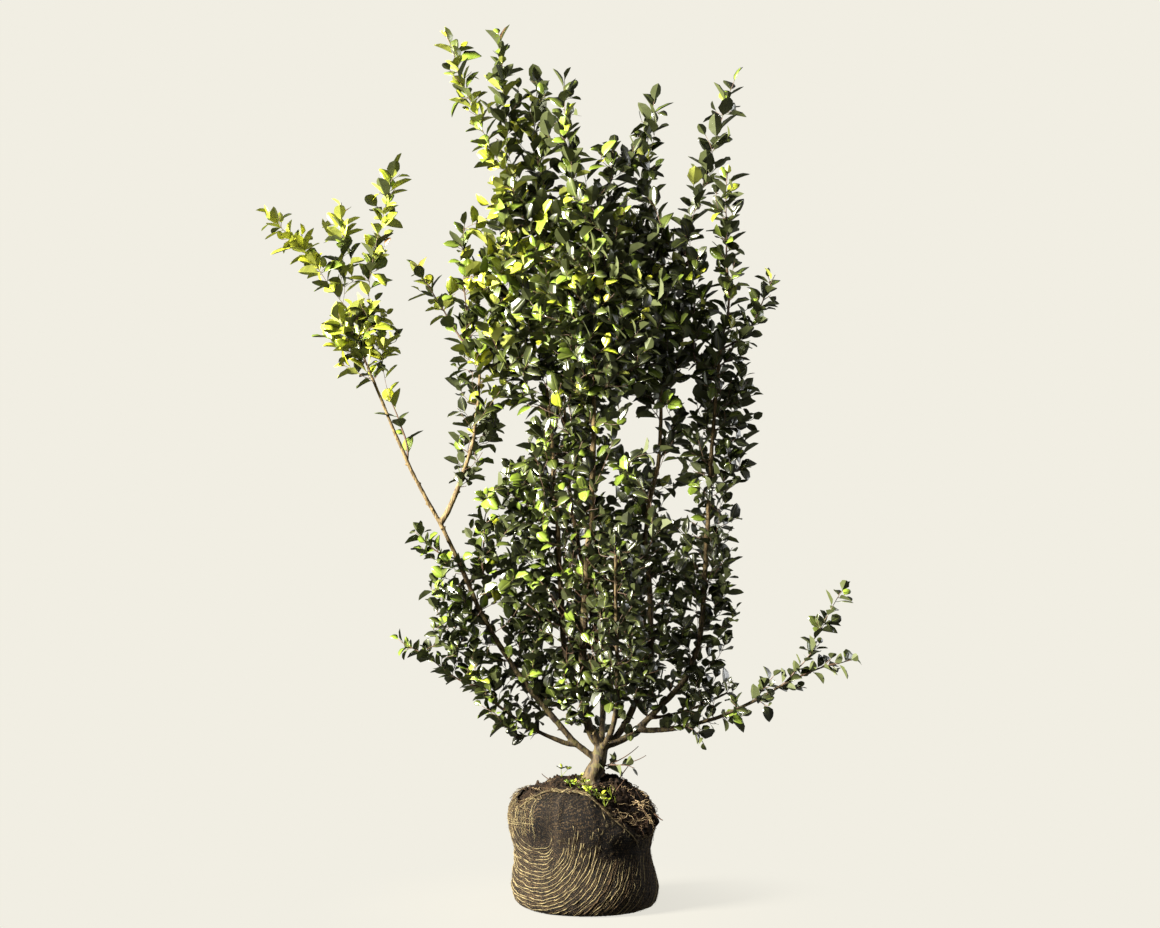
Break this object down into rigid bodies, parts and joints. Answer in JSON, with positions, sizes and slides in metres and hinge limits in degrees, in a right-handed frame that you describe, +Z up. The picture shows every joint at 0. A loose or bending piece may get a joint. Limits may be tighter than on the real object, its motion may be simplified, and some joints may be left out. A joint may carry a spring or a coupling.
{
  "type": "multi-stemmed evergreen shrub with wrapped root ball",
  "caption": "Young evergreen shrub with small leathery leaves, boughs forking low from a short trunk, standing on a soil root ball held in jute cloth.",
  "frame": {"origin": "middle of the root ball's flat underside, on the surface that it stands on", "axes": "+Z up along the trunk, +X to the right as seen from the front, -Y towards the viewer in front"},
  "size_m": [1.0011, 0.3704, 1.506],
  "materials": {
    "soil": "matte",
    "jute": "matte",
    "bark": "matte",
    "leaf": "satin",
    "leaf_lit": "satin"
  },
  "bodies": {
    "root": {"bough_back": "bark", "bough_centre": "bark", "bough_centre_left": "bark", "bough_front": "bark", "bough_left": "bark", "bough_mid_left": "bark", "bough_right": "bark", "bough_right_inner": "bark", "branch_left_low": "bark", "branch_right_low": "bark", "branch_right_second": "bark", "jute_wrap": "jute", "leaves_left_branch": "leaf", "leaves_left_inner": "leaf", "leaves_left_outer": "leaf", "leaves_left_stem": "leaf", "leaves_left_tip": "leaf", "leaves_low_back": "leaf", "leaves_low_centre": "leaf", "leaves_low_front": "leaf", "leaves_low_left": "leaf", "leaves_low_left_inner": "leaf", "leaves_low_right": "leaf", "leaves_low_right_inner": "leaf", "leaves_mid_back": "leaf", "leaves_mid_centre": "leaf", "leaves_mid_inner": "leaf", "leaves_mid_left": "leaf", "leaves_mid_right": "leaf", "leaves_right_drop": "leaf", "leaves_right_fork": "leaf", "leaves_right_outer": "leaf", "leaves_right_pair": "leaf", "leaves_right_second": "leaf", "leaves_right_tip_out": "leaf", "leaves_right_tip_up": "leaf", "leaves_right_top": "leaf", "leaves_trunk_twig": "leaf", "leaves_upper_back": "leaf", "leaves_upper_centre": "leaf", "leaves_upper_front": "leaf", "leaves_upper_gap": "leaf", "leaves_upper_left": "leaf", "leaves_upper_right": "leaf", "root_ball_soil": "soil", "shoot_left_in": "leaf_lit", "shoot_left_out": "leaf_lit", "shoot_left_up": "leaf_lit", "shoot_mid_left_out": "leaf_lit", "shoot_mid_left_up": "leaf_lit", "shoot_top": "leaf", "shoot_top_centre": "leaf", "shoot_top_centre_left": "leaf", "shoot_top_inner": "leaf", "shoot_top_left": "leaf", "shoot_top_right": "leaf", "shoot_top_right_inner": "leaf", "shoots_left_body": "leaf_lit", "trunk": "bark"}
  },
  "joints": []
}
